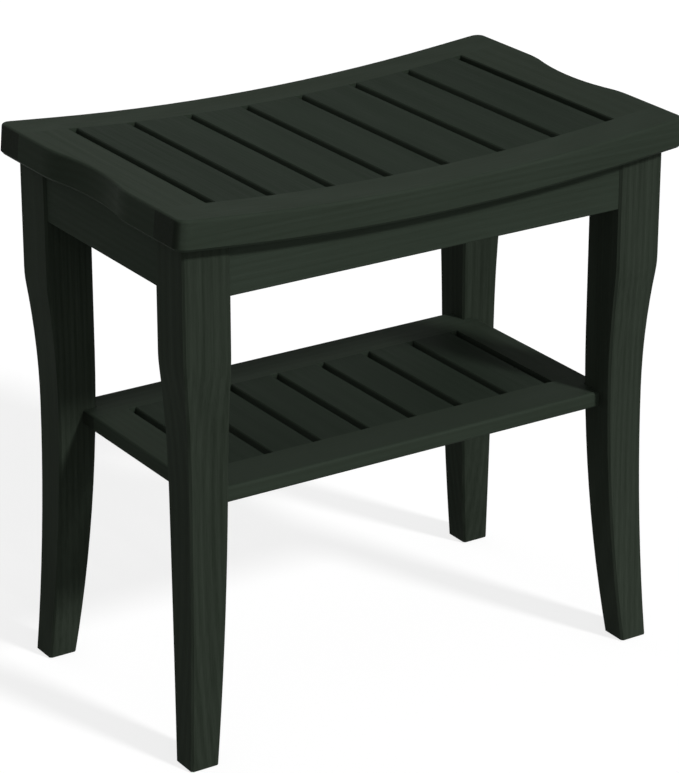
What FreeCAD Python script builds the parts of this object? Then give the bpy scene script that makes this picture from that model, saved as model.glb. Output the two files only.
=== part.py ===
import FreeCAD, Part
import math
import os
from FreeCAD import Vector

# Shower bench: a dished seat of cross slats on four flared legs, with aprons and a slatted shelf.
# Millimetres. The origin is on the floor below the middle of the seat. +X is the right-hand end,
# +Y is the back and +Z is up.

# Seat
seat_length = 454.4
seat_depth = 278.0
seat_middle_height = 437.2
dish_radius = 1980.0
seat_thickness = 24.2
seat_corner_radius = 9.0
seat_top_round = 2.4
seat_bottom_chamfer = 2.5
seat_rail_width = 35.2
seat_end_board_width = 44.0
seat_slat_count = 7
seat_slat_thickness = 17.0
seat_slot_width = 7.0
seat_tenon_thickness = 8.0
seat_tenon_length = 14.0
scoop_length = 132.0
scoop_depth = 7.2
scoop_shoulder_length = 20.0

# Legs
seat_overhang_ends = 10.9
seat_overhang_sides = 14.2
leg_block_width = 40.4
leg_block_drop = 44.7
leg_neck_length = 114.0
leg_neck_shoulder_length = 14.0
leg_neck_depth = 6.5
leg_foot_width = 24.3
leg_foot_splay = 0.9
leg_inner_flare_height = 266.0
leg_edge_flat = 2.4

# Aprons and corner blocks
apron_height = 34.6
end_apron_height = 31.6
apron_thickness = 18.0
apron_reveal = 2.0
apron_edge_round = 1.5
apron_tenon_thickness = 8.0
apron_tenon_shoulder = 6.0
mortise_wall = 8.0
corner_block_width = 22.0
corner_block_leg_gap = 2.0
corner_block_rise = 4.0
corner_block_drop = 3.0

# Shelf
shelf_top_height = 219.4
shelf_thickness = 13.0
shelf_end_inset = 27.5
shelf_side_inset = 19.2
shelf_rail_width = 38.0
shelf_end_board_width = 30.9
shelf_slat_count = 7
shelf_slot_width = 7.0
shelf_edge_round = 2.5
shelf_tenon_thickness = 6.0
shelf_tenon_length = 12.0
shelf_leg_tenon_length = 12.0
shelf_leg_tenon_shoulder = 4.0

# Small parts
tenon_side_shoulder = 6.0
slot_edge_chamfer = 0.8
loose_tenon_thickness = 8.0
loose_tenon_width = 24.0
loose_tenon_cover = 1.4
loose_tenon_depth_in_apron = 18.0
loose_tenon_end_spacing = 100.0
screw_diameter = 4.2
screw_head_diameter = 8.0
screw_head_height = 3.0
screw_bite = 18.0
pad_diameter = 16.0
pad_thickness = 3.0
pad_stand = 1.0

# Clearances
seat_bed_gap = 0.2
joint_gap = 0.1
mortise_end_gap = 0.5
flatness = 0.0001

# Worked-out places
seat_half_length = seat_length / 2
seat_half_depth = seat_depth / 2
seat_rail_inner_y = seat_half_depth - seat_rail_width
seat_board_inner_x = seat_half_length - seat_end_board_width
above_seat = seat_middle_height + seat_half_length
below_seat = seat_middle_height - seat_half_length
dish_centre_z = seat_middle_height + dish_radius
end_tilt = math.asin(seat_board_inner_x / (dish_radius + seat_thickness))
bed_drop = seat_thickness + seat_bed_gap
seat_tenon_top_drop = (seat_slat_thickness - seat_tenon_thickness) / 2
seat_tenon_bottom_drop = seat_tenon_top_drop + seat_tenon_thickness
loose_tenon_top_drop = seat_tenon_bottom_drop + joint_gap + loose_tenon_cover + mortise_end_gap
frame_top = seat_middle_height - bed_drop
apron_bottom = frame_top - apron_height
end_apron_bottom = frame_top - end_apron_height
leg_outer_x = seat_half_length - seat_overhang_ends
leg_outer_y = seat_half_depth - seat_overhang_sides
leg_inner_x = leg_outer_x - leg_block_width
leg_inner_y = leg_outer_y - leg_block_width
leg_neck_top = apron_bottom - leg_block_drop
leg_waist_height = leg_neck_top - leg_neck_length
apron_outer_x = leg_outer_x - apron_reveal
apron_outer_y = leg_outer_y - apron_reveal
apron_inner_x = apron_outer_x - apron_thickness
apron_inner_y = apron_outer_y - apron_thickness
apron_tenon_inset = apron_reveal + (apron_thickness + apron_tenon_thickness) / 2
apron_tenon_length = leg_block_width - apron_tenon_inset - mortise_wall
corner_block_bottom = max(apron_bottom, end_apron_bottom) + corner_block_rise
corner_block_top = frame_top - corner_block_drop
screw_grip = corner_block_leg_gap + corner_block_width
shelf_half_length = leg_outer_x - shelf_end_inset
shelf_half_depth = leg_outer_y - shelf_side_inset
shelf_rail_inner_y = shelf_half_depth - shelf_rail_width
shelf_board_inner_x = shelf_half_length - shelf_end_board_width
shelf_bottom = shelf_top_height - shelf_thickness
shelf_middle_z = shelf_top_height - shelf_thickness / 2
beyond_shelf_x = shelf_half_length + shelf_thickness
beyond_shelf_y = shelf_half_depth + shelf_thickness
inward = Vector(1, 1, 0) / math.sqrt(2)


# Shapes used by every sub-assembly

def box(x0, x1, y0, y1, z0, z1):
    """Straight block between two corners."""
    return Part.makeBox(x1 - x0, y1 - y0, z1 - z0, Vector(x0, y0, z0))


def line(start, end):
    """Straight edge."""
    return Part.makeLine(start, end)


def arc(start, middle, end):
    """Round edge through three points."""
    return Part.Arc(start, middle, end).toShape()


def face(edges):
    """Flat face inside a closed run of edges."""
    return Part.Face(Part.Wire(Part.__sortEdges__(edges)))


def mirror_x(shape):
    """Copy of a left-hand shape for the right-hand end."""
    return shape.mirror(Vector(0, 0, 0), Vector(1, 0, 0))


def mirror_y(shape):
    """Copy of a front shape for the back."""
    return shape.mirror(Vector(0, 0, 0), Vector(0, 1, 0))


def corner_copies(shape):
    """A shape of the front left corner and its copies in the other corners."""
    return [shape, mirror_x(shape), mirror_y(shape), mirror_x(mirror_y(shape))]


def named_corners(name, shape):
    """The four corner copies by their full names."""
    corners = ("front_left", "front_right", "back_left", "back_right")
    return {f"{name}_{corner}": copy for corner, copy in zip(corners, corner_copies(shape))}


def dish_bend(drop):
    """Distance from the middle at which a dished surface runs on straight along the end boards."""
    return (dish_radius + drop) * math.sin(end_tilt)


def dish_z(x, drop):
    """Height of the dished surface that lies a given depth below the seat's top."""
    radius = dish_radius + drop
    if abs(x) < dish_bend(drop):
        return dish_centre_z - math.sqrt(radius ** 2 - x ** 2)
    return dish_centre_z - (radius - abs(x) * math.sin(end_tilt)) / math.cos(end_tilt)


def dish_edges(x0, x1, y, drop):
    """Edges of a dished surface in the plane of one y."""
    bend = dish_bend(drop)
    places = [x0] + [x for x in (-bend, bend) if x0 < x < x1] + [x1]
    edges = []
    for start, end in zip(places, places[1:]):
        middle = (start + end) / 2
        first, second, third = [Vector(x, y, dish_z(x, drop)) for x in (start, middle, end)]
        edges.append(arc(first, second, third) if abs(middle) < bend else line(first, third))
    return edges


def dished_block(x0, x1, y0, y1, drop_top, drop_bottom):
    """Block between two dished surfaces, with upright sides."""
    edges = dish_edges(x0, x1, y0, drop_top) + dish_edges(x0, x1, y0, drop_bottom)
    for x in (x0, x1):
        edges.append(line(Vector(x, y0, dish_z(x, drop_bottom)), Vector(x, y0, dish_z(x, drop_top))))
    return face(edges).extrude(Vector(0, y1 - y0, 0))


def bedded_block(x0, x1, y0, y1, z0):
    """Block with a flat bottom whose top is shaped to the underside of the seat."""
    edges = dish_edges(x0, x1, y0, bed_drop) + [line(Vector(x0, y0, z0), Vector(x1, y0, z0))]
    for x in (x0, x1):
        edges.append(line(Vector(x, y0, z0), Vector(x, y0, dish_z(x, bed_drop))))
    return face(edges).extrude(Vector(0, y1 - y0, 0))


def bulge(radius, distance):
    """How far a circle has left its tangent at a distance along it."""
    return radius - math.sqrt(radius ** 2 - distance ** 2)


def ogee(length, depth, lead, along):
    """Depth of an S-curve of two tangent arcs, parallel to its length at both ends.

    The first arc takes the lead length, and along is the distance from its start.
    """
    sine = math.sin(2 * math.atan2(depth, length))
    if along < lead:
        return bulge(lead / sine, along)
    return depth - bulge((length - lead) / sine, length - along)


def flare(height, spread, down):
    """Sideways distance of an arc that leaves the upright and spreads over a height."""
    radius = (height ** 2 + spread ** 2) / (2 * spread)
    return bulge(radius, down)


def slat_places(half_length, end_board_width, slot_width, count):
    """Left and right side of each slat, evenly spaced between two end boards."""
    room = 2 * (half_length - end_board_width)
    width = (room - (count + 1) * slot_width) / count
    lefts = [slot_width - room / 2 + number * (width + slot_width) for number in range(count)]
    return [(left, left + width) for left in lefts]


def wanted_edges(shape, wanted):
    """The edges that pass a test of their middle point and themselves."""
    return [edge for edge in shape.Edges if wanted(edge.CenterOfGravity, edge)]


def round_edges(shape, radius, wanted):
    """Rounds the edges that pass a test."""
    return shape.makeFillet(radius, wanted_edges(shape, wanted))


def chamfer_edges(shape, size, wanted):
    """Planes a flat on the edges that pass a test."""
    return shape.makeChamfer(size, wanted_edges(shape, wanted))


# Seat

def end_outline():
    """Plan of the seat's right-hand end from x = 0 inwards: round corners and a shallow scoop."""
    scoop_half = scoop_length / 2
    corner_y = seat_half_depth - seat_corner_radius
    reach = seat_corner_radius * (1 - math.sqrt(0.5))

    def scoop_point(y):
        along = scoop_half - abs(y)
        return Vector(-ogee(scoop_half, scoop_depth, scoop_shoulder_length, along), y, 0)

    def half_edges(side):
        start = side * scoop_half
        shoulder = side * (scoop_half - scoop_shoulder_length)
        side_y = side * seat_half_depth
        round_start = Vector(0, side * corner_y, 0)
        round_end = Vector(-seat_corner_radius, side_y, 0)
        return [
            arc(scoop_point(shoulder), scoop_point((shoulder + start) / 2), scoop_point(start)),
            line(scoop_point(start), round_start),
            arc(round_start, Vector(-reach, side_y - side * reach, 0), round_end),
            line(round_end, Vector(-seat_length, side_y, 0)),
        ]

    inner = scoop_half - scoop_shoulder_length
    hollow = arc(scoop_point(-inner), scoop_point(0), scoop_point(inner))
    far = line(Vector(-seat_length, -seat_half_depth, 0), Vector(-seat_length, seat_half_depth, 0))
    return face(half_edges(-1) + [hollow] + half_edges(1) + [far])


def seat_blank():
    """The whole seat before it is divided: dished, cut square to its ends, with round outer edges."""
    size = seat_half_length
    trim = end_outline().extrude(Vector(0, 0, 2 * size))
    trim.translate(Vector(0, 0, -size))
    trim.rotate(Vector(0, 0, 0), Vector(0, 1, 0), -math.degrees(end_tilt))
    middle = seat_thickness / 2
    trim.translate(Vector(seat_half_length, 0, dish_z(seat_half_length, middle)))
    half = dished_block(0, seat_length, -seat_depth, seat_depth, 0, seat_thickness).common(trim)
    blank = half.fuse(mirror_x(half)).removeSplitter()
    board_middle_x = seat_half_length - seat_end_board_width / 2

    def is_outer(point):
        return abs(point.y) > seat_rail_inner_y or abs(point.x) > board_middle_x

    def is_upper(point, edge):
        return is_outer(point) and edge.BoundBox.ZMin > dish_z(point.x, middle)

    def is_lower(point, edge):
        return is_outer(point) and edge.BoundBox.ZMax < dish_z(point.x, middle)

    blank = round_edges(blank, seat_top_round, is_upper)
    return chamfer_edges(blank, seat_bottom_chamfer, is_lower)


def seat_slat_places():
    """Left and right side of each slat of the seat."""
    return slat_places(seat_half_length, seat_end_board_width, seat_slot_width, seat_slat_count)


def seat_tenon_places():
    """Left and right side of the tenons of the end boards and slats."""
    outer = seat_half_length - seat_corner_radius - tenon_side_shoulder
    inner = seat_board_inner_x + tenon_side_shoulder
    places = [(x0 + tenon_side_shoulder, x1 - tenon_side_shoulder) for x0, x1 in seat_slat_places()]
    return [(-outer, -inner)] + places + [(inner, outer)]


def seat_tenon(x0, x1, y0, y1, gap):
    """Tenon along the middle of the slats' thickness, or its mortise with a gap on each side."""
    return dished_block(x0 - gap, x1 + gap, y0, y1, seat_tenon_top_drop - gap, seat_tenon_bottom_drop + gap)


def with_seat_tenons(body, x0, x1):
    """Adds a tenon to each end of a cross piece of the seat."""
    tip = seat_rail_inner_y + seat_tenon_length
    back = seat_tenon(x0, x1, seat_rail_inner_y, tip, 0)
    front = seat_tenon(x0, x1, -tip, -seat_rail_inner_y, 0)
    return body.fuse([back, front]).removeSplitter()


def is_seat_slot_edge(point, edge):
    """True for the long upper edges of a cross piece of the seat that run along a slot."""
    upper = point.z > dish_z(point.x, seat_slat_thickness / 2)
    beside_slot = abs(point.x) < seat_board_inner_x + joint_gap
    return upper and beside_slot and edge.BoundBox.YLength > seat_rail_inner_y


def build_seat():
    """Two long rails, two end boards and the slats between them."""
    tenons = seat_tenon_places()
    blank = seat_blank()
    mortise_tip = seat_rail_inner_y + seat_tenon_length + mortise_end_gap
    front = box(-seat_length, seat_length, -seat_depth, -seat_rail_inner_y, below_seat, above_seat)
    mortises = [seat_tenon(x0, x1, -mortise_tip, -seat_rail_inner_y, joint_gap) for x0, x1 in tenons]
    loose_mortises = loose_tenon_blocks(joint_gap, mortise_end_gap)
    rail = blank.common(front).cut(mortises + loose_mortises)

    half = seat_rail_inner_y
    left = box(-seat_length, -seat_board_inner_x, -half, half, below_seat, above_seat)
    board = chamfer_edges(blank.common(left), slot_edge_chamfer, is_seat_slot_edge)
    board = with_seat_tenons(board, *tenons[0]).cut(loose_mortises)

    pieces = {
        "seat_front_rail": rail,
        "seat_back_rail": mirror_y(rail),
        "seat_end_board_left": board,
        "seat_end_board_right": mirror_x(board),
    }
    for number, (x0, x1) in enumerate(seat_slat_places(), 1):
        slat = dished_block(x0, x1, -half, half, 0, seat_slat_thickness)
        slat = chamfer_edges(slat, slot_edge_chamfer, is_seat_slot_edge)
        pieces[f"seat_slat_{number}"] = with_seat_tenons(slat, *tenons[number])
    return pieces


# Loose tenons between the seat and the aprons

def loose_tenon_blocks(gap, end_gap):
    """Two tenons on each apron, or their mortises in the apron and the seat with a gap all round."""
    first_slat = seat_slat_places()[0]
    thick = loose_tenon_thickness / 2 + gap
    wide = loose_tenon_width / 2 + gap
    long_x = first_slat[1] + seat_slot_width / 2
    long_y = apron_outer_y - apron_thickness / 2
    end_x = apron_outer_x - apron_thickness / 2
    end_y = loose_tenon_end_spacing / 2
    blocks = []
    for x, y, half_x, half_y in ((long_x, long_y, wide, thick), (end_x, end_y, thick, wide)):
        low = dish_z(x, seat_thickness) - loose_tenon_depth_in_apron - end_gap
        high = dish_z(x, loose_tenon_top_drop) + end_gap
        blocks += corner_copies(box(x - half_x, x + half_x, y - half_y, y + half_y, low, high))
    return blocks


def build_loose_tenons():
    """The loose tenons as one group."""
    return {"seat_loose_tenons": Part.makeCompound(loose_tenon_blocks(0, 0))}


# Legs

def outer_inset(z):
    """How far a leg's outer faces lie inside their upper part at a height."""
    if z > leg_neck_top:
        return 0.0
    if z > leg_waist_height:
        return ogee(leg_neck_length, leg_neck_depth, leg_neck_shoulder_length, leg_neck_top - z)
    spread = leg_neck_depth + leg_foot_splay
    return leg_neck_depth - flare(leg_waist_height - pad_stand, spread, leg_waist_height - z)


def inner_inset(z):
    """How far a leg's inner faces lie from the upper part of its outer faces at a height."""
    if z > leg_inner_flare_height:
        return leg_block_width
    spread = leg_block_width - leg_foot_width + leg_foot_splay
    return leg_block_width - flare(leg_inner_flare_height - pad_stand, spread, leg_inner_flare_height - z)


def leg_heights():
    """Heights at which the leg's curves start and end, from the top down."""
    shoulder = leg_neck_top - leg_neck_shoulder_length
    inside = {leg_neck_top, shoulder, leg_inner_flare_height, leg_waist_height}
    return [above_seat] + sorted(inside, reverse=True) + [pad_stand]


def leg_curve(points):
    """Arc through three points, or a line where they lie in a row."""
    start, middle, end = points
    straight = (start + end) / 2 - middle
    return line(start, end) if straight.Length < flatness else arc(start, middle, end)


def leg_view(across, along, near, far):
    """The front left leg as sawn to one view.

    The view is drawn from the leg's outer corner in the level direction across, between the
    insets near and far, which are functions of the height, and is extruded in the direction along.
    """
    size = seat_length
    corner = Vector(-leg_outer_x, -leg_outer_y, 0) - along * size
    heights = leg_heights()

    def place(inset, z):
        return corner + across * inset(z) + Vector(0, 0, z)

    edges = [line(place(near, z), place(far, z)) for z in (heights[0], heights[-1])]
    for inset in (near, far):
        for high, low in zip(heights, heights[1:]):
            edges.append(leg_curve([place(inset, z) for z in (high, (high + low) / 2, low)]))
    return face(edges).extrude(along * (2 * size))


def sawn_leg():
    """Leg sawn to the same view from the side and the front, with its four edges planed flat."""
    side_on = Vector(1, 0, 0)
    front_on = Vector(0, 1, 0)
    sideways = Vector(1, -1, 0) / math.sqrt(2)
    half_flat = leg_edge_flat / 2

    def half_width(z):
        return (inner_inset(z) - outer_inset(z)) / math.sqrt(2) - half_flat

    views = [
        leg_view(side_on, front_on, outer_inset, inner_inset),
        leg_view(front_on, side_on, outer_inset, inner_inset),
        leg_view(inward, sideways, lambda z: outer_inset(z) * math.sqrt(2) + half_flat,
                 lambda z: inner_inset(z) * math.sqrt(2) - half_flat),
        leg_view(sideways, inward, lambda z: -half_width(z), half_width),
    ]
    leg = views[0]
    for view in views[1:]:
        leg = leg.common(view)
    return leg.removeSplitter()


def foot_centre():
    """Middle of the front left foot."""
    inset = leg_foot_width / 2 - leg_foot_splay
    return Vector(-leg_outer_x + inset, -leg_outer_y + inset, 0)


def apron_tenon_span(bottom):
    """Bottom and top of the tenons of an apron whose lower edge is at a height."""
    return bottom + apron_tenon_shoulder, frame_top - apron_tenon_shoulder


def front_tenon(gap, end_gap):
    """Tenon of the front apron in the front left leg, or its mortise with a gap all round."""
    low, high = apron_tenon_span(apron_bottom)
    middle = -apron_outer_y + apron_thickness / 2
    half = apron_tenon_thickness / 2 + gap
    tip = -leg_inner_x - apron_tenon_length - end_gap
    return box(tip, -leg_inner_x, middle - half, middle + half, low - gap, high + gap)


def end_tenon(gap, end_gap):
    """Tenon of the left apron in the front left leg, or its mortise with a gap all round."""
    low, high = apron_tenon_span(end_apron_bottom)
    middle = -apron_outer_x + apron_thickness / 2
    half = apron_tenon_thickness / 2 + gap
    tip = -leg_inner_y - apron_tenon_length - end_gap
    return box(middle - half, middle + half, tip, -leg_inner_y, low - gap, high + gap)


def build_legs():
    """The four legs, bored and mortised."""
    leg = sawn_leg().common(bedded_block(-seat_length, 0, -seat_depth, 0, 0))
    recess = Part.makeCylinder(pad_diameter / 2 + joint_gap, pad_thickness, foot_centre())
    mortises = [
        front_tenon(joint_gap, mortise_end_gap),
        end_tenon(joint_gap, mortise_end_gap),
        shelf_leg_tenon(joint_gap, mortise_end_gap),
    ]
    return named_corners("leg", leg.cut(mortises + [recess, screw_bore()]))


def build_pads():
    """Non-slip pads let into the feet."""
    return named_corners("foot_pad", Part.makeCylinder(pad_diameter / 2, pad_thickness, foot_centre()))


# Aprons and corner blocks

def is_lower_apron_edge(point, edge):
    """True for the long lower edges of an apron."""
    low = edge.BoundBox.ZMax < frame_top - apron_tenon_shoulder
    return low and edge.Length > apron_thickness + joint_gap


def build_aprons():
    """Four aprons tenoned into the legs, with tops shaped to the underside of the seat."""
    mortises = loose_tenon_blocks(joint_gap, mortise_end_gap)
    front = bedded_block(-leg_inner_x, leg_inner_x, -apron_outer_y, -apron_inner_y, apron_bottom)
    front = round_edges(front, apron_edge_round, is_lower_apron_edge)
    tenon = front_tenon(0, 0)
    front = front.fuse([tenon, mirror_x(tenon)]).removeSplitter().cut(mortises)

    left = bedded_block(-apron_outer_x, -apron_inner_x, -leg_inner_y, leg_inner_y, end_apron_bottom)
    left = round_edges(left, apron_edge_round, is_lower_apron_edge)
    tenon = end_tenon(0, 0)
    left = left.fuse([tenon, mirror_y(tenon)]).removeSplitter().cut(mortises)
    return {
        "apron_front": front,
        "apron_back": mirror_y(front),
        "apron_left": left,
        "apron_right": mirror_x(left),
    }


def screw_start():
    """Where the front left corner screw passes the inner edge of the leg."""
    return Vector(-leg_inner_x, -leg_inner_y, (corner_block_bottom + corner_block_top) / 2)


def screw_bore():
    """Hole of that screw in the block and the leg."""
    bottom = screw_start() - inward * (screw_bite + mortise_end_gap)
    length = screw_bite + mortise_end_gap + screw_grip + corner_block_width
    return Part.makeCylinder(screw_diameter / 2 + joint_gap, length, bottom, inward)


def build_corner_blocks():
    """Blocks across the frame's inner corners, each with one screw hole towards its leg."""
    leg_corner = (apron_inner_x - leg_inner_x) + (apron_inner_y - leg_inner_y)
    near = leg_corner + corner_block_leg_gap * math.sqrt(2)
    far = near + corner_block_width * math.sqrt(2)
    corner = Vector(-apron_inner_x, -apron_inner_y, corner_block_bottom)
    plan = [corner + Vector(x, y, 0) for x, y in ((near, 0), (far, 0), (0, far), (0, near), (near, 0))]
    height = corner_block_top - corner_block_bottom
    block = Part.Face(Part.makePolygon(plan)).extrude(Vector(0, 0, height))
    return named_corners("corner_block", block.cut(screw_bore()))


def build_corner_screws():
    """Pan-head screws through the blocks into the legs, as one group."""
    start = screw_start()
    radius = screw_diameter / 2
    head = screw_head_diameter / 2
    head_top = screw_grip + screw_head_height
    outline = [
        (0, head_top),
        (head, head_top),
        (head, screw_grip),
        (radius, screw_grip),
        (radius, -screw_bite),
        (0, -screw_bite),
        (0, head_top),
    ]
    points = [start + inward * along + Vector(0, 0, out) for out, along in outline]
    screw = Part.Face(Part.makePolygon(points)).revolve(start, inward, 360)
    return {"corner_block_screws": Part.makeCompound(corner_copies(screw))}


# Shelf

def shelf_notch(leg_outer):
    """Where the shelf stops against the legs' inner faces, measured from the middle."""
    return leg_outer - inner_inset(shelf_top_height) - joint_gap


def shelf_leg_tenon(gap, end_gap):
    """Tenon of the front shelf rail in the front left leg, or its mortise with a gap all round."""
    half = shelf_tenon_thickness / 2 + gap
    outer = -shelf_half_depth + shelf_leg_tenon_shoulder - gap
    inner = -shelf_notch(leg_outer_y) - shelf_leg_tenon_shoulder + gap
    stop = -shelf_notch(leg_outer_x)
    tip = stop - shelf_leg_tenon_length - end_gap
    return box(tip, stop, outer, inner, shelf_middle_z - half, shelf_middle_z + half)


def shelf_tenon(x0, x1, y0, y1, gap):
    """Tenon along the middle of the shelf's thickness, or its mortise with a gap on each side."""
    half = shelf_tenon_thickness / 2 + gap
    return box(x0 - gap, x1 + gap, y0, y1, shelf_middle_z - half, shelf_middle_z + half)


def with_shelf_tenons(body, x0, x1):
    """Adds a tenon to each end of a cross piece of the shelf."""
    tip = shelf_rail_inner_y + shelf_tenon_length
    back = shelf_tenon(x0, x1, shelf_rail_inner_y, tip, 0)
    front = shelf_tenon(x0, x1, -tip, -shelf_rail_inner_y, 0)
    return body.fuse([back, front]).removeSplitter()


def shelf_part(x0, x1, y0, y1):
    """Block of the shelf's thickness."""
    return box(x0, x1, y0, y1, shelf_bottom, shelf_top_height)


def is_level_edge(point, edge):
    """True for edges that run level."""
    return edge.BoundBox.ZLength < joint_gap


def shelf_blank():
    """The whole shelf before it is divided, with round edges and a notch round each leg."""
    blank = shelf_part(-shelf_half_length, shelf_half_length, -shelf_half_depth, shelf_half_depth)
    blank = round_edges(blank, shelf_edge_round, is_level_edge)
    notch_x = -shelf_notch(leg_outer_x)
    notch_y = -shelf_notch(leg_outer_y)
    notch = shelf_part(-beyond_shelf_x, notch_x, -beyond_shelf_y, notch_y)
    return blank.cut(corner_copies(notch))


def is_shelf_slot_edge(point, edge):
    """True for the long upper edges of a slat of the shelf."""
    return point.z > shelf_middle_z and edge.BoundBox.YLength > shelf_rail_inner_y


def build_shelf():
    """Two long rails tenoned into the legs, two end boards and the slats between them."""
    slats = slat_places(shelf_half_length, shelf_end_board_width, shelf_slot_width, shelf_slat_count)
    boards = [(-shelf_half_length, -shelf_board_inner_x), (shelf_board_inner_x, shelf_half_length)]
    places = boards[:1] + slats + boards[1:]
    tenons = [(x0 + tenon_side_shoulder, x1 - tenon_side_shoulder) for x0, x1 in places]
    blank = shelf_blank()

    half = shelf_rail_inner_y
    mortise_tip = half + shelf_tenon_length + mortise_end_gap
    mortises = [shelf_tenon(x0, x1, -mortise_tip, -half, joint_gap) for x0, x1 in tenons]
    rail = blank.common(shelf_part(-beyond_shelf_x, beyond_shelf_x, -beyond_shelf_y, -half))
    leg_tenon = shelf_leg_tenon(0, 0)
    rail = rail.fuse([leg_tenon, mirror_x(leg_tenon)]).removeSplitter().cut(mortises)

    left = shelf_part(-beyond_shelf_x, -shelf_board_inner_x, -half, half)
    board = with_shelf_tenons(blank.common(left), *tenons[0])
    pieces = {
        "shelf_front_rail": rail,
        "shelf_back_rail": mirror_y(rail),
        "shelf_end_board_left": board,
        "shelf_end_board_right": mirror_x(board),
    }
    for number, (x0, x1) in enumerate(slats, 1):
        slat = chamfer_edges(shelf_part(x0, x1, -half, half), slot_edge_chamfer, is_shelf_slot_edge)
        pieces[f"shelf_slat_{number}"] = with_shelf_tenons(slat, *tenons[number])
    return pieces


def main():
    """Builds every sub-assembly and writes each piece to its own file."""
    os.makedirs("parts", exist_ok=True)
    builders = (
        build_seat,
        build_loose_tenons,
        build_legs,
        build_pads,
        build_aprons,
        build_corner_blocks,
        build_corner_screws,
        build_shelf,
    )
    for builder in builders:
        for name, shape in builder().items():
            shape.exportStep(os.path.join("parts", name + ".step"))
            print(name, len(shape.Solids), "solids, valid:", shape.isValid())


main()
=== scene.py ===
"""Shower bench of stained teak: its finishes, the detail of its screws and pads, and its studio."""
import logging
import math
import random
from dataclasses import dataclass, replace
from enum import Enum
from typing import Any

import bmesh
import bpy
from mathutils import Matrix, Vector


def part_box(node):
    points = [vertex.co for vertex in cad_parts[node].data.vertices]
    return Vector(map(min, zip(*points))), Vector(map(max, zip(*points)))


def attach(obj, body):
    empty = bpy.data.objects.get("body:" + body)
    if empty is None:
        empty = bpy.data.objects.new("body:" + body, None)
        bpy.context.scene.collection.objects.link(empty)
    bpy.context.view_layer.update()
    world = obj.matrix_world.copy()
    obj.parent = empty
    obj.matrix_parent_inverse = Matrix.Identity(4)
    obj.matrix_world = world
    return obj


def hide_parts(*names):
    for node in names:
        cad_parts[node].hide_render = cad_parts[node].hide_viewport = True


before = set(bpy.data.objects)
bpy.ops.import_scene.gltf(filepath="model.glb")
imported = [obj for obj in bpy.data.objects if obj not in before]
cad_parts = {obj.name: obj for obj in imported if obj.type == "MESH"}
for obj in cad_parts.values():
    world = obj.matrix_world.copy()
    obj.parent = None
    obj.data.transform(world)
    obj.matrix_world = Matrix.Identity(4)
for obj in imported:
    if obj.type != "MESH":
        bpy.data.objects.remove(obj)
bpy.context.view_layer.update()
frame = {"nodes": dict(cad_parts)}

log = logging.getLogger("shower_bench")

MM = 0.001
BODY = "root"
CORNERS = ("front_left", "front_right", "back_left", "back_right")
# Numbers of the colour sockets of a Mix node.
MIX_A, MIX_B, MIX_RESULT = 6, 7, 2
# Radians that the wave texture runs per unit of its scale.
WAVE_RADIANS = 20
# Edges that turn more than this stay sharp, and corners closer than this are one.
SHARP_ANGLE = math.radians(35)
MERGE_DISTANCE = 0.001 * MM


class Grain(Enum):
    """Direction of a board's fibres.

    Each value is the turn in degrees that brings the fibres to the pattern's X axis.
    """

    ALONG_X = (0.0, 0.0, 0.0)
    ALONG_Y = (0.0, 0.0, -90.0)
    ALONG_Z = (0.0, 90.0, 0.0)
    RISING_DIAGONAL = (0.0, 0.0, -45.0)
    FALLING_DIAGONAL = (0.0, 0.0, 45.0)

    def turn(self) -> tuple[float, float, float]:
        """The turn in radians."""
        return tuple(math.radians(angle) for angle in self.value)


def linear(hex_colour: str) -> tuple[float, float, float, float]:
    """Turns an sRGB hex colour into linear light.

    Args:
        hex_colour: Colour as #rrggbb.

    Returns:
        Red, green, blue and full alpha.
    """
    shares = [int(hex_colour[place:place + 2], 16) / 255 for place in (1, 3, 5)]
    return (*[s / 12.92 if s <= 0.04045 else ((s + 0.055) / 1.055) ** 2.4 for s in shares], 1.0)


def add_node(
    tree: bpy.types.NodeTree,
    kind: str,
    settings: dict[str, Any] | None = None,
    inputs: dict[str | int, Any] | None = None,
) -> bpy.types.Node:
    """Adds a node with its settings, values and links.

    Args:
        tree: Tree that gets the node.
        kind: Type of the node, without its ShaderNode prefix.
        settings: Properties of the node by name.
        inputs: Values, or sockets to link from, by the input's name or number.

    Returns:
        The new node.
    """
    node = tree.nodes.new("ShaderNode" + kind)
    for name, value in (settings or {}).items():
        setattr(node, name, value)
    for key, value in (inputs or {}).items():
        if isinstance(value, bpy.types.NodeSocket):
            tree.links.new(value, node.inputs[key])
        else:
            node.inputs[key].default_value = value
    return node


def empty_material(name: str) -> bpy.types.Material:
    """A material with no nodes yet.

    Args:
        name: Name of the material.

    Returns:
        The new material.
    """
    material = bpy.data.materials.new(name)
    material.use_nodes = True
    material.node_tree.nodes.clear()
    return material


def set_surface(tree: bpy.types.NodeTree, shader: bpy.types.NodeSocket) -> None:
    """Links a shader to the material's surface.

    Args:
        tree: Tree of the material.
        shader: Output of the shader.
    """
    add_node(tree, "OutputMaterial", inputs={"Surface": shader})


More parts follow.
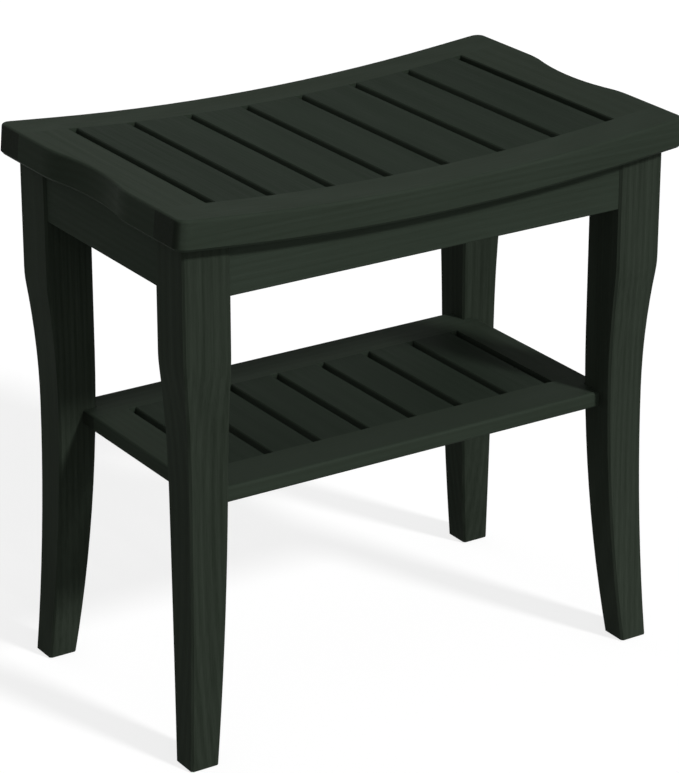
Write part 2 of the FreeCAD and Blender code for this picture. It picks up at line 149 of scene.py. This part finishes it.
@dataclass(frozen=True)
class Wood:
    """Straight-grained wood with growth rings, fibres, pores and darker end grain.

    Every pattern lies along the grain of its board. The pith lies outside the board, so the
    rings are lines on its faces and arcs on its ends.
    """

    name: str
    light: str
    dark: str
    end_grain: str
    # Colour of the lighter arrises, partly rubbed wear and partly painted highlight.
    worn_and_highlit: str
    roughness_low: float
    roughness_high: float
    specular: float
    # Strength of the lighter arrises, partly wear and partly painted highlight.
    wear_and_highlight: float
    # Lighter colour for the sides of slats, painted light in the slots; None leaves the sides as
    # the rest.
    side: str | None = None
    ior: float = 1.45
    ring_spacing: float = 5.5 * MM
    ring_stretch: float = 0.12
    ring_wander: float = 2.6
    ring_octaves: float = 2.0
    ring_detail: float = 0.6
    ring_strength: float = 0.22
    # Fibres and pores of teak are under 0.5 mm wide, and are drawn wider here so that they show.
    fibre_width: float = 1.7 * MM
    fibre_length: float = 80.0 * MM
    fibre_octaves: float = 3.0
    fibre_strength: float = 0.9
    pore_width: float = 0.9 * MM
    pore_length: float = 11.0 * MM
    pore_octaves: float = 1.0
    pore_strength: float = 0.35
    cloud_width: float = 70.0 * MM
    cloud_length: float = 210.0 * MM
    cloud_octaves: float = 2.0
    cloud_strength: float = 0.7
    streak_roughness: float = 0.55
    pith_distance: float = 75.0 * MM
    bump_depth: float = 0.12 * MM
    bump_strength: float = 0.5
    # Values of the fibres' pattern at which the surface is smoothest and roughest.
    smooth_fibre: float = 0.3
    rough_fibre: float = 0.7
    # Cosines of a face's tilt from an axis at which it begins to be and fully is square to it.
    square_from: float = 0.6
    square_full: float = 0.9
    # Cosines between the softened and the true normal at which the rubbed wear and painted
    # highlight of the arrises begin and are full.
    wear_and_highlight_from: float = 0.98
    wear_and_highlight_full: float = 0.8
    edge_radius: float = 1.4 * MM
    edge_samples: int = 4

    def material(self, board: str, grain: Grain, tone: float) -> bpy.types.Material:
        """Makes the finish of one board.

        Args:
            board: Name of the board, which also picks the part of the tree that it was cut from.
            grain: Direction of its fibres.
            tone: How much lighter than the others it is, as a share of the colour range.

        Returns:
            The material.
        """
        draw = random.Random(board)
        pith_angle = draw.uniform(0, 2 * math.pi)
        place = (
            draw.uniform(-1, 1),
            self.pith_distance * math.cos(pith_angle),
            self.pith_distance * math.sin(pith_angle),
        )
        material = empty_material(f"{self.name}_{board}")
        tree = material.node_tree
        coordinates = add_node(tree, "TexCoord")
        cut = add_node(tree, "Mapping", inputs={
            "Vector": coordinates.outputs["Object"],
            "Location": place,
            "Rotation": grain.turn(),
        }).outputs["Vector"]
        rings = self._rings(tree, cut)
        fibres = self._streaks(tree, cut, self.fibre_length, self.fibre_width, self.fibre_octaves)
        pores = self._streaks(tree, cut, self.pore_length, self.pore_width, self.pore_octaves)
        clouds = self._streaks(tree, cut, self.cloud_length, self.cloud_width, self.cloud_octaves)

        share = self._share(tree, tone, (
            (rings, self.ring_strength),
            (fibres, self.fibre_strength),
            (pores, self.pore_strength),
            (clouds, self.cloud_strength),
        ))
        normal = coordinates.outputs["Normal"]
        shades = [(share, self.light)]
        # The sides of slats get painted light: a lighter colour on the walls of the slots.
        if self.side:
            shades.append((self._square_to(tree, normal, grain, "Y"), self.side))
        shades.append((self._square_to(tree, normal, grain, "X"), self.end_grain))
        # Lighter arrises: partly rubbed wear, partly painted highlight.
        shades.append((self._wear_and_highlight(tree, clouds), self.worn_and_highlit))
        stain: Any = linear(self.dark)
        for part, shade in shades:
            stain = add_node(tree, "Mix", {"data_type": "RGBA"}, {
                0: part,
                MIX_A: stain,
                MIX_B: linear(shade),
            }).outputs[MIX_RESULT]

        roughness = add_node(tree, "MapRange", inputs={
            "Value": fibres,
            "From Min": self.smooth_fibre,
            "From Max": self.rough_fibre,
            "To Min": self.roughness_low,
            "To Max": self.roughness_high,
        }).outputs["Result"]
        relief = add_node(tree, "Math", {"operation": "ADD"}, {0: fibres, 1: pores}).outputs[0]
        bump = add_node(tree, "Bump", inputs={
            "Strength": self.bump_strength,
            "Distance": self.bump_depth,
            "Height": relief,
        }).outputs["Normal"]
        shader = add_node(tree, "BsdfPrincipled", inputs={
            "Base Color": stain,
            "Roughness": roughness,
            "IOR": self.ior,
            "Specular IOR Level": self.specular,
            "Normal": bump,
        })
        set_surface(tree, shader.outputs["BSDF"])
        return material

    def _rings(self, tree: bpy.types.NodeTree, cut: bpy.types.NodeSocket) -> bpy.types.NodeSocket:
        """Growth rings round the pith, which wander slowly along the grain.

        Args:
            tree: Tree of the material.
            cut: Place in the tree trunk.

        Returns:
            Rings from 0 to 1.
        """
        stretched = add_node(tree, "Mapping", inputs={
            "Vector": cut,
            "Scale": (self.ring_stretch, 1.0, 1.0),
        }).outputs["Vector"]
        # One ring takes a full turn of the wave.
        scale = 2 * math.pi / (WAVE_RADIANS * self.ring_spacing)
        return add_node(tree, "TexWave", {"wave_type": "RINGS", "rings_direction": "X"}, {
            "Vector": stretched,
            "Scale": scale,
            "Distortion": self.ring_wander,
            "Detail": self.ring_octaves,
            "Detail Scale": self.ring_detail,
        }).outputs["Fac"]

    def _streaks(
        self,
        tree: bpy.types.NodeTree,
        cut: bpy.types.NodeSocket,
        length: float,
        width: float,
        octaves: float,
    ) -> bpy.types.NodeSocket:
        """Streaks along the grain.

        Args:
            tree: Tree of the material.
            cut: Place in the tree trunk.
            length: Length of a streak.
            width: Width of a streak.
            octaves: Octaves of finer streaks.

        Returns:
            Streaks from 0 to 1.
        """
        scaled = add_node(tree, "Mapping", inputs={
            "Vector": cut,
            "Scale": (1 / length, 1 / width, 1 / width),
        }).outputs["Vector"]
        return add_node(tree, "TexNoise", inputs={
            "Vector": scaled,
            "Scale": 1.0,
            "Detail": octaves,
            "Roughness": self.streak_roughness,
        }).outputs["Fac"]

    def _share(
        self,
        tree: bpy.types.NodeTree,
        tone: float,
        patterns: tuple[tuple[bpy.types.NodeSocket, float], ...],
    ) -> bpy.types.NodeSocket:
        """Adds up patterns into a share between the dark and the light stain.

        Args:
            tree: Tree of the material.
            tone: Added to the whole board.
            patterns: Each pattern from 0 to 1, with its strength.

        Returns:
            The share.
        """
        middle = sum(strength for _, strength in patterns) / 2
        total: Any = 0.5 + tone - middle
        for pattern, strength in patterns:
            total = add_node(tree, "Math", {"operation": "MULTIPLY_ADD"}, {
                0: pattern,
                1: strength,
                2: total,
            }).outputs[0]
        return total

    def _square_to(
        self,
        tree: bpy.types.NodeTree,
        normal: bpy.types.NodeSocket,
        grain: Grain,
        axis: str,
    ) -> bpy.types.NodeSocket:
        """Picks the end grain, or the sides of a slat, which get painted light.

        Args:
            tree: Tree of the material.
            normal: Direction of the surface.
            grain: Direction of the fibres.
            axis: X along the fibres for the end grain, or Y across a slat for its sides.

        Returns:
            1 where the surface is square to the axis and 0 elsewhere.
        """
        facing = add_node(tree, "Mapping", inputs={
            "Vector": normal,
            "Rotation": grain.turn(),
        }).outputs["Vector"]
        along = add_node(tree, "SeparateXYZ", inputs={"Vector": facing}).outputs[axis]
        square = add_node(tree, "Math", {"operation": "ABSOLUTE"}, {0: along}).outputs[0]
        return add_node(tree, "MapRange", {"interpolation_type": "SMOOTHSTEP"}, {
            "Value": square,
            "From Min": self.square_from,
            "From Max": self.square_full,
        }).outputs["Result"]

    def _wear_and_highlight(self, tree: bpy.types.NodeTree, clouds: bpy.types.NodeSocket) -> bpy.types.NodeSocket:
        """Rubbed arrises with a painted highlight: lighter where a softened normal leaves the true
        one, more in some places.

        Args:
            tree: Tree of the material.
            clouds: Slow pattern that varies the wear.

        Returns:
            Share of the lighter arrises' colour, partly wear and partly painted highlight.
        """
        soft = add_node(tree, "Bevel", {"samples": self.edge_samples}, {"Radius": self.edge_radius})
        agree = add_node(tree, "VectorMath", {"operation": "DOT_PRODUCT"}, {
            0: soft.outputs["Normal"],
            1: add_node(tree, "NewGeometry").outputs["Normal"],
        })
        edge = add_node(tree, "MapRange", inputs={
            "Value": agree.outputs["Value"],
            "From Min": self.wear_and_highlight_from,
            "From Max": self.wear_and_highlight_full,
            "To Max": self.wear_and_highlight,
        }).outputs["Result"]
        return add_node(tree, "Math", {"operation": "MULTIPLY"}, {0: edge, 1: clouds}).outputs[0]


# Teak under a green-black stain and a thin oil: almost one colour, with faint streaks along the
# grain, darker end grain and slightly lighter arrises, partly rubbed wear and partly a painted
# highlight, and hardly any shine.
STAINED_TEAK = Wood(
    name="stained_teak",
    light="#2f372f",
    dark="#262d25",
    end_grain="#1e231d",
    # Lighter arrises, partly wear and partly painted highlight.
    worn_and_highlit="#404a40",
    roughness_low=0.58,
    roughness_high=0.74,
    specular=0.02,
    wear_and_highlight=0.12,
)

# The same teak in the slats, which took up more of the stain on top; their sides in the slots get a
# lighter colour, painted light that stands in for light reaching into the slots.
STAINED_SLAT_TEAK = replace(
    STAINED_TEAK,
    name="stained_slat_teak",
    light="#252d25",
    dark="#1d241d",
    # Painted light: a lighter colour on the slots' walls in place of the light that reaches into
    # them.
    side="#343c33",
)

# The same teak in the legs, glued up from narrow staves, which gives it long bands of a lighter
# and a darker shade.
STAINED_LEG_TEAK = replace(
    STAINED_TEAK,
    name="stained_leg_teak",
    light="#313830",
    dark="#1e241d",
    cloud_width=12.0 * MM,
    cloud_length=300.0 * MM,
)

# Bare beech of the loose tenons: pale and plain, with short flecks.
BARE_BEECH = Wood(
    name="bare_beech",
    light="#c9a77c",
    dark="#b08b62",
    end_grain="#96734e",
    worn_and_highlit="#d6ba92",
    roughness_low=0.6,
    roughness_high=0.75,
    specular=0.3,
    wear_and_highlight=0.0,
)


@dataclass(frozen=True)
class TurnedSteel:
    """Stainless steel of machine-made screws: grey, with fine marks from rolling."""

    name: str = "turned_steel"
    colour: str = "#a9a8a4"
    mark_spacing: float = 0.25 * MM
    mark_octaves: float = 2.0
    roughness_low: float = 0.25
    roughness_high: float = 0.42
    bump_depth: float = 0.02 * MM
    bump_strength: float = 0.2

    def material(self) -> bpy.types.Material:
        """Makes the finish."""
        material = empty_material(self.name)
        tree = material.node_tree
        place = add_node(tree, "TexCoord").outputs["Object"]
        marks = add_node(tree, "TexNoise", inputs={
            "Vector": place,
            "Scale": 1 / self.mark_spacing,
            "Detail": self.mark_octaves,
        }).outputs["Fac"]
        roughness = add_node(tree, "MapRange", inputs={
            "Value": marks,
            "To Min": self.roughness_low,
            "To Max": self.roughness_high,
        }).outputs["Result"]
        bump = add_node(tree, "Bump", inputs={
            "Strength": self.bump_strength,
            "Distance": self.bump_depth,
            "Height": marks,
        })
        shader = add_node(tree, "BsdfPrincipled", inputs={
            "Base Color": linear(self.colour),
            "Metallic": 1.0,
            "Roughness": roughness,
            "Normal": bump.outputs["Normal"],
        })
        set_surface(tree, shader.outputs["BSDF"])
        return material


@dataclass(frozen=True)
class MouldedRubber:
    """Black moulded rubber: matt, with a fine grit and a grey bloom."""

    name: str = "moulded_rubber"
    colour: str = "#1b1b1b"
    bloom: str = "#2a2a29"
    grit: float = 0.35 * MM
    grit_octaves: float = 3.0
    roughness: float = 0.85
    specular: float = 0.25
    bump_depth: float = 0.05 * MM
    bump_strength: float = 0.4

    def material(self) -> bpy.types.Material:
        """Makes the finish."""
        material = empty_material(self.name)
        tree = material.node_tree
        place = add_node(tree, "TexCoord").outputs["Object"]
        grit = add_node(tree, "TexNoise", inputs={
            "Vector": place,
            "Scale": 1 / self.grit,
            "Detail": self.grit_octaves,
        }).outputs["Fac"]
        colour = add_node(tree, "Mix", {"data_type": "RGBA"}, {
            0: grit,
            MIX_A: linear(self.colour),
            MIX_B: linear(self.bloom),
        }).outputs[MIX_RESULT]
        bump = add_node(tree, "Bump", inputs={
            "Strength": self.bump_strength,
            "Distance": self.bump_depth,
            "Height": grit,
        })
        shader = add_node(tree, "BsdfPrincipled", inputs={
            "Base Color": colour,
            "Roughness": self.roughness,
            "Specular IOR Level": self.specular,
            "Normal": bump.outputs["Normal"],
        })
        set_surface(tree, shader.outputs["BSDF"])
        return material


@dataclass(frozen=True)
class Boards:
    """Wooden pieces of one sub-assembly that share a direction of the grain."""

    names: tuple[str, ...]
    grain: Grain
    wood: Wood = STAINED_TEAK
    tone: float = 0.0
    tone_spread: float = 0.15

    def dress(self, nodes: dict[str, bpy.types.Object]) -> None:
        """Gives each board its own cut of the wood.

        Args:
            nodes: The bench's pieces by name.
        """
        for name in self.names:
            tone = self.tone + random.Random(name).uniform(-self.tone_spread, self.tone_spread)
            nodes[name].material_slots[0].material = self.wood.material(name, self.grain, tone)
            log.info("%s: %s", name, self.wood.name)


@dataclass(frozen=True)
class SlattedBoard:
    """The seat or the shelf: two long rails, two end boards and the slats between them."""

    name: str
    slat_count: int = 7
    front_rail_tone: float = 0.1
    back_rail_tone: float = -0.2
    end_board_tone: float = -0.3

    def boards(self) -> tuple[Boards, ...]:
        """The rails, the end boards and the slats."""
        ends = tuple(f"{self.name}_end_board_{side}" for side in ("left", "right"))
        slats = tuple(f"{self.name}_slat_{number}" for number in range(1, self.slat_count + 1))
        return (
            Boards((f"{self.name}_front_rail",), Grain.ALONG_X, tone=self.front_rail_tone),
            Boards((f"{self.name}_back_rail",), Grain.ALONG_X, tone=self.back_rail_tone),
            Boards(ends, Grain.ALONG_Y, tone=self.end_board_tone),
            Boards(slats, Grain.ALONG_Y, wood=STAINED_SLAT_TEAK),
        )


@dataclass(frozen=True)
class LegFrame:
    """Four legs, the aprons between them and the blocks in the corners."""

    apron_tone: float = 0.05

    def boards(self) -> tuple[Boards, ...]:
        """The pieces by the direction of their grain."""
        legs = tuple(f"leg_{corner}" for corner in CORNERS)
        rising = ("corner_block_front_right", "corner_block_back_left")
        falling = ("corner_block_front_left", "corner_block_back_right")
        return (
            Boards(legs, Grain.ALONG_Z, wood=STAINED_LEG_TEAK),
            Boards(("apron_front", "apron_back"), Grain.ALONG_X, tone=self.apron_tone),
            Boards(("apron_left", "apron_right"), Grain.ALONG_Y, tone=self.apron_tone),
            Boards(rising, Grain.RISING_DIAGONAL),
            Boards(falling, Grain.FALLING_DIAGONAL),
            Boards(("seat_loose_tenons",), Grain.ALONG_Z, wood=BARE_BEECH),
        )


def new_piece(
    name: str,
    mesh: bmesh.types.BMesh,
    material: bpy.types.Material,
) -> bpy.types.Object:
    """Makes an object of a finished mesh and fixes it to the bench.

    Args:
        name: Name of the piece.
        mesh: Its mesh in the bench's frame, which is freed.
        material: Its finish.

    Returns:
        The new piece.
    """
    data = bpy.data.meshes.new(name)
    mesh.to_mesh(data)
    mesh.free()
    data.materials.append(material)
    data.shade_smooth()
    data.set_sharp_from_angle(angle=SHARP_ANGLE)
    piece = bpy.data.objects.new(name, data)
    bpy.context.scene.collection.objects.link(piece)
    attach(piece, BODY)
    log.info("%s: %d faces", name, len(data.polygons))
    return piece


def turned(
    mesh: bmesh.types.BMesh,
    outline: list[tuple[float, float]],
    steps: int,
) -> list[bmesh.types.BMVert]:
    """Turns an outline about the Z axis.

    Args:
        mesh: Mesh that gets the turned shape.
        outline: Points as radius and height, from one end to the other.
        steps: Sides of the turned shape.

    Returns:
        The new corners.
    """
    before = set(mesh.verts)
    points = [mesh.verts.new((radius, 0.0, height)) for radius, height in outline]
    edges = [mesh.edges.new(pair) for pair in zip(points, points[1:])]
    bmesh.ops.spin(
        mesh,
        geom=points + edges,
        axis=(0.0, 0.0, 1.0),
        cent=(0.0, 0.0, 0.0),
        angle=2 * math.pi,
        steps=steps,
        use_merge=True,
    )
    made = [vert for vert in mesh.verts if vert not in before]
    bmesh.ops.remove_doubles(mesh, verts=made, dist=MERGE_DISTANCE)
    return [vert for vert in mesh.verts if vert not in before]


@dataclass(frozen=True)
class CornerScrews:
    """Pan-head wood screws through the corner blocks, with a cross recess and a coarse thread."""

    node: str = "corner_block_screws"
    shank_diameter: float = 4.2 * MM
    core_diameter: float = 2.9 * MM
    head_height: float = 3.0 * MM
    dome_height: float = 1.0 * MM
    dome_flat_radius: float = 2.8 * MM
    recess_arm: float = 2.1 * MM
    recess_width: float = 0.9 * MM
    recess_depth: float = 1.7 * MM
    # Share of the recess's width that is left at its floor.
    recess_floor: float = 0.55
    thread_pitch: float = 1.8 * MM
    # Half the foot of the thread as a share of its pitch, and how deep it is sunk into the core.
    thread_foot: float = 0.2
    thread_sunk: float = 0.1 * MM
    thread_steps: int = 16
    plain_length: float = 8.0 * MM
    point_length: float = 5.0 * MM
    sides: int = 32

    def build(self, finish: TurnedSteel) -> None:
        """Makes the four screws as one group.

        Args:
            finish: Finish of the screws.
        """
        low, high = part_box(self.node)
        edge = self.shank_diameter / 2 / math.sqrt(2)
        tip = Vector((low.x + edge, low.y + edge, (low.z + high.z) / 2))
        head_radius = (high.z - low.z) / 2
        length = self._length(tip)
        group = bmesh.new()
        for side_x, side_y in ((1, 1), (-1, 1), (1, -1), (-1, -1)):
            made = self._screw(group, length, head_radius)
            inward = Vector((side_x, side_y, 0)).normalized()
            turn = inward.to_track_quat("Z", "X").to_matrix().to_4x4()
            place = Matrix.Translation(Vector((side_x * tip.x, side_y * tip.y, tip.z)))
            bmesh.ops.transform(group, matrix=place @ turn, verts=made)
        bmesh.ops.recalc_face_normals(group, faces=group.faces)
        piece = new_piece("corner_screws", group, finish.material())
        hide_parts(self.node)

    def _length(self, tip: Vector) -> float:
        """Length of a screw from its tip to the top of its head.

        Args:
            tip: Tip of the front left screw.

        Returns:
            The length.
        """
        points = [vert.co for vert in frame["nodes"][self.node].data.vertices]
        inward = Vector((1, 1, 0)).normalized()
        near = [point for point in points if point.x < 0 and point.y < 0]
        return max((point - tip).dot(inward) for point in near)

    def _screw(
        self, mesh: bmesh.types.BMesh, length: float, head_radius: float
    ) -> list[bmesh.types.BMVert]:
        """One screw that stands on its tip at the origin.

        Args:
            mesh: Mesh that gets the screw.
            length: Length from tip to head.
            head_radius: Radius of the head.

        Returns:
            The screw's corners.
        """
        core = self.core_diameter / 2
        shank = self.shank_diameter / 2
        seat = length - self.head_height
        plain = seat - self.plain_length
        shoulder = length - self.dome_height
        dome_radius = (head_radius + self.dome_flat_radius) / 2 + self.dome_height / 4
        outline = [
            (0.0, 0.0),
            (core, self.point_length),
            (core, plain),
            (shank, plain + (shank - core)),
            (shank, seat),
            (head_radius, seat),
            (head_radius, shoulder - self.dome_height / 2),
            (dome_radius, shoulder + self.dome_height / 2),
            (self.dome_flat_radius, length),
        ]
        made = turned(mesh, outline, self.sides)
        rim = [edge for vert in made for edge in vert.link_edges if edge.is_boundary]
        made += self._recess(mesh, length, list(dict.fromkeys(rim)))
        made += self._thread(mesh, core, shank, plain)
        return made

    def _recess(
        self, mesh: bmesh.types.BMesh, top: float, rim: list[bmesh.types.BMEdge]
    ) -> list[bmesh.types.BMVert]:
        """Closes the head with a face that has a cross-shaped recess.

        Args:
            mesh: Mesh of the screw.
            top: Height of the head's top.
            rim: Open edges round the top.

        Returns:
            The new corners.
        """
        arm, half = self.recess_arm, self.recess_width / 2
        quarter = [(arm, -half), (arm, half), (half, half)]
        corners = []
        for number in range(4):
            turn = Matrix.Rotation(number * math.pi / 2, 2)
            cross = [turn @ Vector(point) for point in quarter]
            corners += [mesh.verts.new((point.x, point.y, top)) for point in cross]
        edges = [mesh.edges.new(pair) for pair in zip(corners, corners[1:] + corners[:1])]
        bmesh.ops.triangle_fill(mesh, use_beauty=True, use_dissolve=False, edges=rim + edges)
        sunk = bmesh.ops.extrude_edge_only(mesh, edges=edges)["geom"]
        floor = [item for item in sunk if isinstance(item, bmesh.types.BMVert)]
        bmesh.ops.scale(mesh, vec=(self.recess_floor, self.recess_floor, 1.0), verts=floor)
        bmesh.ops.translate(mesh, vec=(0.0, 0.0, -self.recess_depth), verts=floor)
        sides = [item for item in sunk if isinstance(item, bmesh.types.BMEdge)]
        floor_rim = [edge for edge in sides if edge.is_boundary]
        bmesh.ops.triangle_fill(mesh, use_beauty=True, use_dissolve=False, edges=floor_rim)
        return corners + floor

    def _thread(
        self, mesh: bmesh.types.BMesh, core: float, shank: float, end: float
    ) -> list[bmesh.types.BMVert]:
        """A coarse thread from the point up to the plain shank.

        Args:
            mesh: Mesh of the screw.
            core: Radius at the root of the thread.
            shank: Radius at its crest.
            end: Height at which it ends.

        Returns:
            The new corners.
        """
        start = self.point_length
        turns = (end - start) / self.thread_pitch
        steps = round(turns * self.thread_steps)
        half = self.thread_foot * self.thread_pitch
        inside = core - self.thread_sunk
        profile = [(inside, start - half), (shank, start), (inside, start + half)]
        before = set(mesh.verts)
        points = [mesh.verts.new((radius, 0.0, height)) for radius, height in profile]
        ridge = mesh.faces.new(points)
        bmesh.ops.spin(
            mesh,
            geom=[ridge],
            axis=(0.0, 0.0, 1.0),
            cent=(0.0, 0.0, 0.0),
            dvec=(0.0, 0.0, self.thread_pitch / self.thread_steps),
            angle=2 * math.pi * steps / self.thread_steps,
            steps=steps,
            use_merge=False,
        )
        return [vert for vert in mesh.verts if vert not in before]


@dataclass(frozen=True)
class FootPads:
    """Round rubber pads in the feet, with a soft rim and grooves against slipping."""

    rim_round: float = 0.5 * MM
    rim_step_degrees: int = 30
    groove_width: float = 0.9 * MM
    groove_depth: float = 0.5 * MM
    groove_count: int = 3
    sides: int = 48

    def build(self, finish: MouldedRubber) -> None:
        """Makes the four pads.

        Args:
            finish: Finish of the pads.
        """
        material = finish.material()
        for corner in CORNERS:
            node = f"foot_pad_{corner}"
            low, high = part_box(node)
            mesh = bmesh.new()
            outline = self._outline((high.x - low.x) / 2, high.z - low.z)
            made = turned(mesh, outline, self.sides)
            middle = Vector(((low.x + high.x) / 2, (low.y + high.y) / 2, low.z))
            bmesh.ops.translate(mesh, vec=middle, verts=made)
            bmesh.ops.recalc_face_normals(mesh, faces=mesh.faces)
            pad = new_piece(f"grooved_pad_{corner}", mesh, material)
            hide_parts(node)

    def _outline(self, radius: float, height: float) -> list[tuple[float, float]]:
        """Half section of a pad, from the middle of its underside to the middle of its top.

        Args:
            radius: Radius of the pad.
            height: Thickness of the pad.

        Returns:
            Points as radius and height.
        """
        points = [(0.0, 0.0)]
        step = radius / (self.groove_count + 1)
        for number in range(1, self.groove_count + 1):
            inner = number * step - self.groove_width / 2
            outer = number * step + self.groove_width / 2
            points += [
                (inner, 0.0),
                (inner, self.groove_depth),
                (outer, self.groove_depth),
                (outer, 0.0),
            ]
        for degrees in range(0, 91, self.rim_step_degrees):
            angle = math.radians(degrees)
            points.append((
                radius - self.rim_round * (1 - math.sin(angle)),
                self.rim_round * (1 - math.cos(angle)),
            ))
        return points + [(radius, height), (0.0, height)]


def towards(azimuth: float, elevation: float) -> Vector:
    """Direction from the bench, with azimuth 0 at the front and 90 at the right-hand end.

    Args:
        azimuth: Angle round the bench in degrees.
        elevation: Angle above the floor in degrees.

    Returns:
        A vector of length 1.
    """
    across, up = math.radians(azimuth), math.radians(elevation)
    level = math.cos(up)
    return Vector((math.sin(across) * level, -math.cos(across) * level, math.sin(up)))


@dataclass(frozen=True)
class Lamp:
    """A far lamp: its light in watts per square metre, its place and its spread in degrees."""

    name: str
    strength: float
    azimuth: float
    elevation: float
    spread: float

    def build(self) -> None:
        """Makes the lamp."""
        light = bpy.data.lights.new(self.name, "SUN")
        light.energy = self.strength
        light.angle = math.radians(self.spread)
        lamp = bpy.data.objects.new(self.name, light)
        place = towards(self.azimuth, self.elevation)
        lamp.rotation_euler = place.to_track_quat("Z", "Y").to_euler()
        bpy.context.scene.collection.objects.link(lamp)


# The key lights the front and the top. The weaker lamps open the shadows under the seat, at the
# left end and behind.
LAMPS = (
    Lamp("key", strength=2.6, azimuth=20.0, elevation=36.5, spread=7.0),
    Lamp("front", strength=0.36, azimuth=18.0, elevation=8.0, spread=30.0),
    Lamp("side", strength=0.28, azimuth=-20.0, elevation=14.0, spread=40.0),
    Lamp("back", strength=0.55, azimuth=190.0, elevation=8.0, spread=40.0),
)


@dataclass(frozen=True)
class Studio:
    """Pale floor and backdrop, lamps, soft light all round and the camera."""

    lamps: tuple[Lamp, ...] = LAMPS
    floor_size: float = 40.0
    floor_grey: float = 0.28
    floor_glow: float = 0.79
    fill: float = 0.28
    camera_azimuth: float = -32.837
    camera_elevation: float = 22.262
    camera_distance: float = 2601.1 * MM
    camera_aim: tuple[float, float, float] = (-2.666 * MM, 0.0, 227.333 * MM)
    # Focal length in pixels of the 679 x 773 picture, whose longer side spans the sensor.
    focal_pixels: float = 3266.1
    picture_height: float = 773.0
    sensor_width: float = 36.0

    def build(self) -> None:
        """Makes the floor, the light and the camera."""
        self._floor()
        self._backdrop()
        for lamp in self.lamps:
            lamp.build()
        self._camera()
        bpy.context.scene.view_settings.view_transform = "Standard"

    def _seen(self, tree: bpy.types.NodeTree) -> bpy.types.NodeSocket:
        """1 for rays that show the backdrop: from the camera, a reflection or through glass.

        Args:
            tree: Tree of the floor or the backdrop.

        Returns:
            1 for those rays and 0 for light that falls on the bench.
        """
        path = add_node(tree, "LightPath").outputs
        first = add_node(tree, "Math", {"operation": "MAXIMUM"}, {
            0: path["Is Camera Ray"],
            1: path["Is Glossy Ray"],
        })
        both = add_node(tree, "Math", {"operation": "MAXIMUM"}, {
            0: first.outputs[0],
            1: path["Is Transmission Ray"],
        })
        return both.outputs[0]

    def _floor(self) -> None:
        """A wide pale floor that shows white and keeps the bench's shadow."""
        mesh = bmesh.new()
        bmesh.ops.create_grid(mesh, x_segments=1, y_segments=1, size=self.floor_size / 2)
        data = bpy.data.meshes.new("floor")
        mesh.to_mesh(data)
        mesh.free()
        material = empty_material("pale_floor")
        tree = material.node_tree
        grey = self.floor_grey
        matt = add_node(tree, "BsdfDiffuse", inputs={"Color": (grey, grey, grey, 1.0)})
        strength = add_node(tree, "Math", {"operation": "MULTIPLY"}, {
            0: self._seen(tree),
            1: self.floor_glow,
        })
        glow = add_node(tree, "Emission", inputs={"Strength": strength.outputs[0]})
        both = add_node(tree, "AddShader", inputs={0: matt.outputs[0], 1: glow.outputs[0]})
        set_surface(tree, both.outputs[0])
        data.materials.append(material)
        floor = bpy.data.objects.new("floor", data)
        bpy.context.scene.collection.objects.link(floor)

    def _backdrop(self) -> None:
        """Even light from all round, shown as white."""
        world = bpy.data.worlds.new("studio")
        world.use_nodes = True
        tree = world.node_tree
        tree.nodes.clear()
        strength = add_node(tree, "Math", {"operation": "MULTIPLY_ADD"}, {
            0: self._seen(tree),
            1: 1.0 - self.fill,
            2: self.fill,
        })
        light = add_node(tree, "Background", inputs={
            "Color": (1.0, 1.0, 1.0, 1.0),
            "Strength": strength.outputs[0],
        })
        add_node(tree, "OutputWorld", inputs={"Surface": light.outputs[0]})
        bpy.context.scene.world = world

    def _camera(self) -> None:
        """The camera of the photograph."""
        lens = bpy.data.cameras.new("camera")
        lens.sensor_width = self.sensor_width
        lens.lens = self.focal_pixels / self.picture_height * self.sensor_width
        camera = bpy.data.objects.new("camera", lens)
        back = towards(self.camera_azimuth, self.camera_elevation)
        camera.location = Vector(self.camera_aim) + back * self.camera_distance
        camera.rotation_euler = (-back).to_track_quat("-Z", "Y").to_euler()
        bpy.context.scene.collection.objects.link(camera)
        bpy.context.scene.camera = camera


def main() -> None:
    """Dresses the bench, adds its small fittings and sets up the studio."""
    logging.basicConfig(level=logging.INFO, format="%(name)s: %(message)s")
    for assembly in (SlattedBoard("seat"), LegFrame(), SlattedBoard("shelf")):
        for boards in assembly.boards():
            boards.dress(frame["nodes"])
    CornerScrews().build(TurnedSteel())
    FootPads().build(MouldedRubber())
    Studio().build()


if __name__ == "__main__":
    main()
